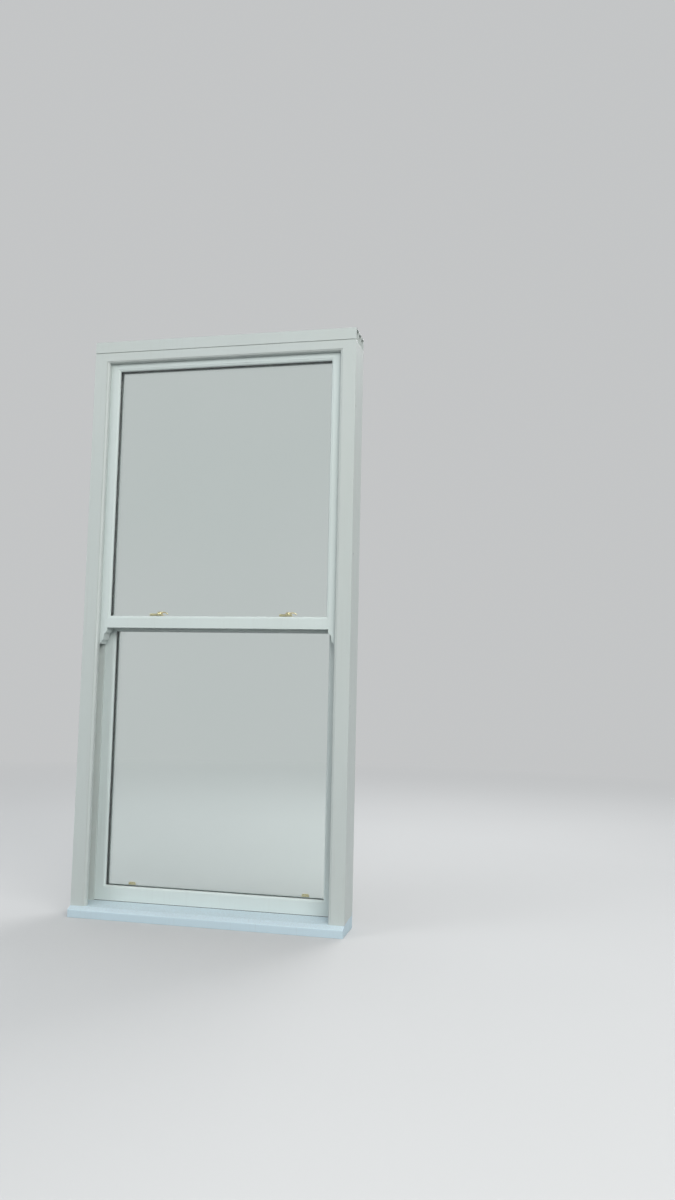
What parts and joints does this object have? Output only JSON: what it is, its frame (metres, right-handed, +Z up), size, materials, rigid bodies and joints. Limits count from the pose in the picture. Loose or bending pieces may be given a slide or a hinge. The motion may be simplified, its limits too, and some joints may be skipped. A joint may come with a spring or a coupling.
{
  "type": "vertical sliding sash window",
  "caption": "White plastic sliding sash window with one pane over one, horned upper sash, sloping sill, sealed glass units, brass cam fasteners and finger lifts.",
  "frame": {"origin": "on the underside of the sill, in the plane of the frame's street face, half way between the jambs", "axes": "+X to the right seen from the street, +Y into the building, +Z up"},
  "size_m": [1.04, 0.1715, 2.19],
  "materials": {
    "frame_plastic": "smooth extruded white plastic, low sheen",
    "sash_plastic": "smooth extruded white plastic, low sheen",
    "sill_plastic": "smooth extruded white plastic, lightly weathered",
    "channel_plastic": "matt moulded white plastic",
    "tube_plastic": "matt pale grey plastic tube",
    "brush_pile": "grey woven brush pile",
    "gasket_rubber": "black glazing rubber",
    "spacer_bar": "matt black warm-edge spacer with dark sealant",
    "glass": "clear float glass with a faint green tint",
    "block_plastic": "matt blue-grey packer plastic",
    "galvanised_steel": "galvanised sheet steel",
    "rod_steel": "zinc plated steel",
    "hardware_brass": "polished lacquered brass"
  },
  "bodies": {
    "frame": {"balance_tube_lower_left": "tube_plastic", "balance_tube_lower_right": "tube_plastic", "balance_tube_upper_left": "tube_plastic", "balance_tube_upper_right": "tube_plastic", "head": "frame_plastic", "head_extension": "frame_plastic", "head_reinforcement": "galvanised_steel", "jamb_left": "frame_plastic", "jamb_reinforcements": "galvanised_steel", "jamb_right": "frame_plastic", "lower_track_brushes": "brush_pile", "shoe_stops": "channel_plastic", "sill": "sill_plastic", "sill_end_caps": "sill_plastic", "upper_track_brushes": "brush_pile"},
    "upper_sash": {"upper_gaskets": "gasket_rubber", "upper_glazing_beads": "sash_plastic", "upper_inner_pane": "glass", "upper_interlock": "channel_plastic", "upper_meeting_rail": "sash_plastic", "upper_outer_pane": "glass", "upper_reinforcements": "galvanised_steel", "upper_setting_blocks": "block_plastic", "upper_spacer": "spacer_bar", "upper_stile_left": "sash_plastic", "upper_stile_right": "sash_plastic", "upper_top_rail": "sash_plastic", "lock_keepers": "hardware_brass", "balance_rod_upper_left": "rod_steel", "balance_shoe_upper_left": "channel_plastic", "balance_rod_upper_right": "rod_steel", "balance_shoe_upper_right": "channel_plastic"},
    "lower_sash": {"lower_bottom_rail": "sash_plastic", "lower_gaskets": "gasket_rubber", "lower_glazing_beads": "sash_plastic", "lower_inner_pane": "glass", "lower_interlock": "channel_plastic", "lower_outer_pane": "glass", "lower_reinforcements": "galvanised_steel", "lower_setting_blocks": "block_plastic", "lower_spacer": "spacer_bar", "lower_stile_left": "sash_plastic", "lower_stile_right": "sash_plastic", "lower_top_rail": "sash_plastic", "lock_bases": "hardware_brass", "sash_lifts": "hardware_brass", "bottom_brush": "brush_pile", "balance_rod_lower_left": "rod_steel", "balance_shoe_lower_left": "channel_plastic", "balance_rod_lower_right": "rod_steel", "balance_shoe_lower_right": "channel_plastic"},
    "left_cam": {"lock_cam_left": "hardware_brass"},
    "right_cam": {"lock_cam_right": "hardware_brass"}
  },
  "joints": [
    {"name": "upper_sash_slide", "type": "slide", "parent": "frame", "child": "upper_sash", "axis": [0, 0, -1], "range_m": [0, 0.9]},
    {"name": "lower_sash_slide", "type": "slide", "parent": "frame", "child": "lower_sash", "axis": [0, 0, 1], "range_m": [0, 0.9]},
    {"name": "left_cam_turn", "type": "hinge", "parent": "lower_sash", "child": "left_cam", "pos_m": [-0.2505, 0.0975, 1.121], "axis": [0, 0, 1], "range_deg": [0, 180]},
    {"name": "right_cam_turn", "type": "hinge", "parent": "lower_sash", "child": "right_cam", "pos_m": [0.2625, 0.0975, 1.121], "axis": [0, 0, 1], "range_deg": [0, 180]}
  ]
}
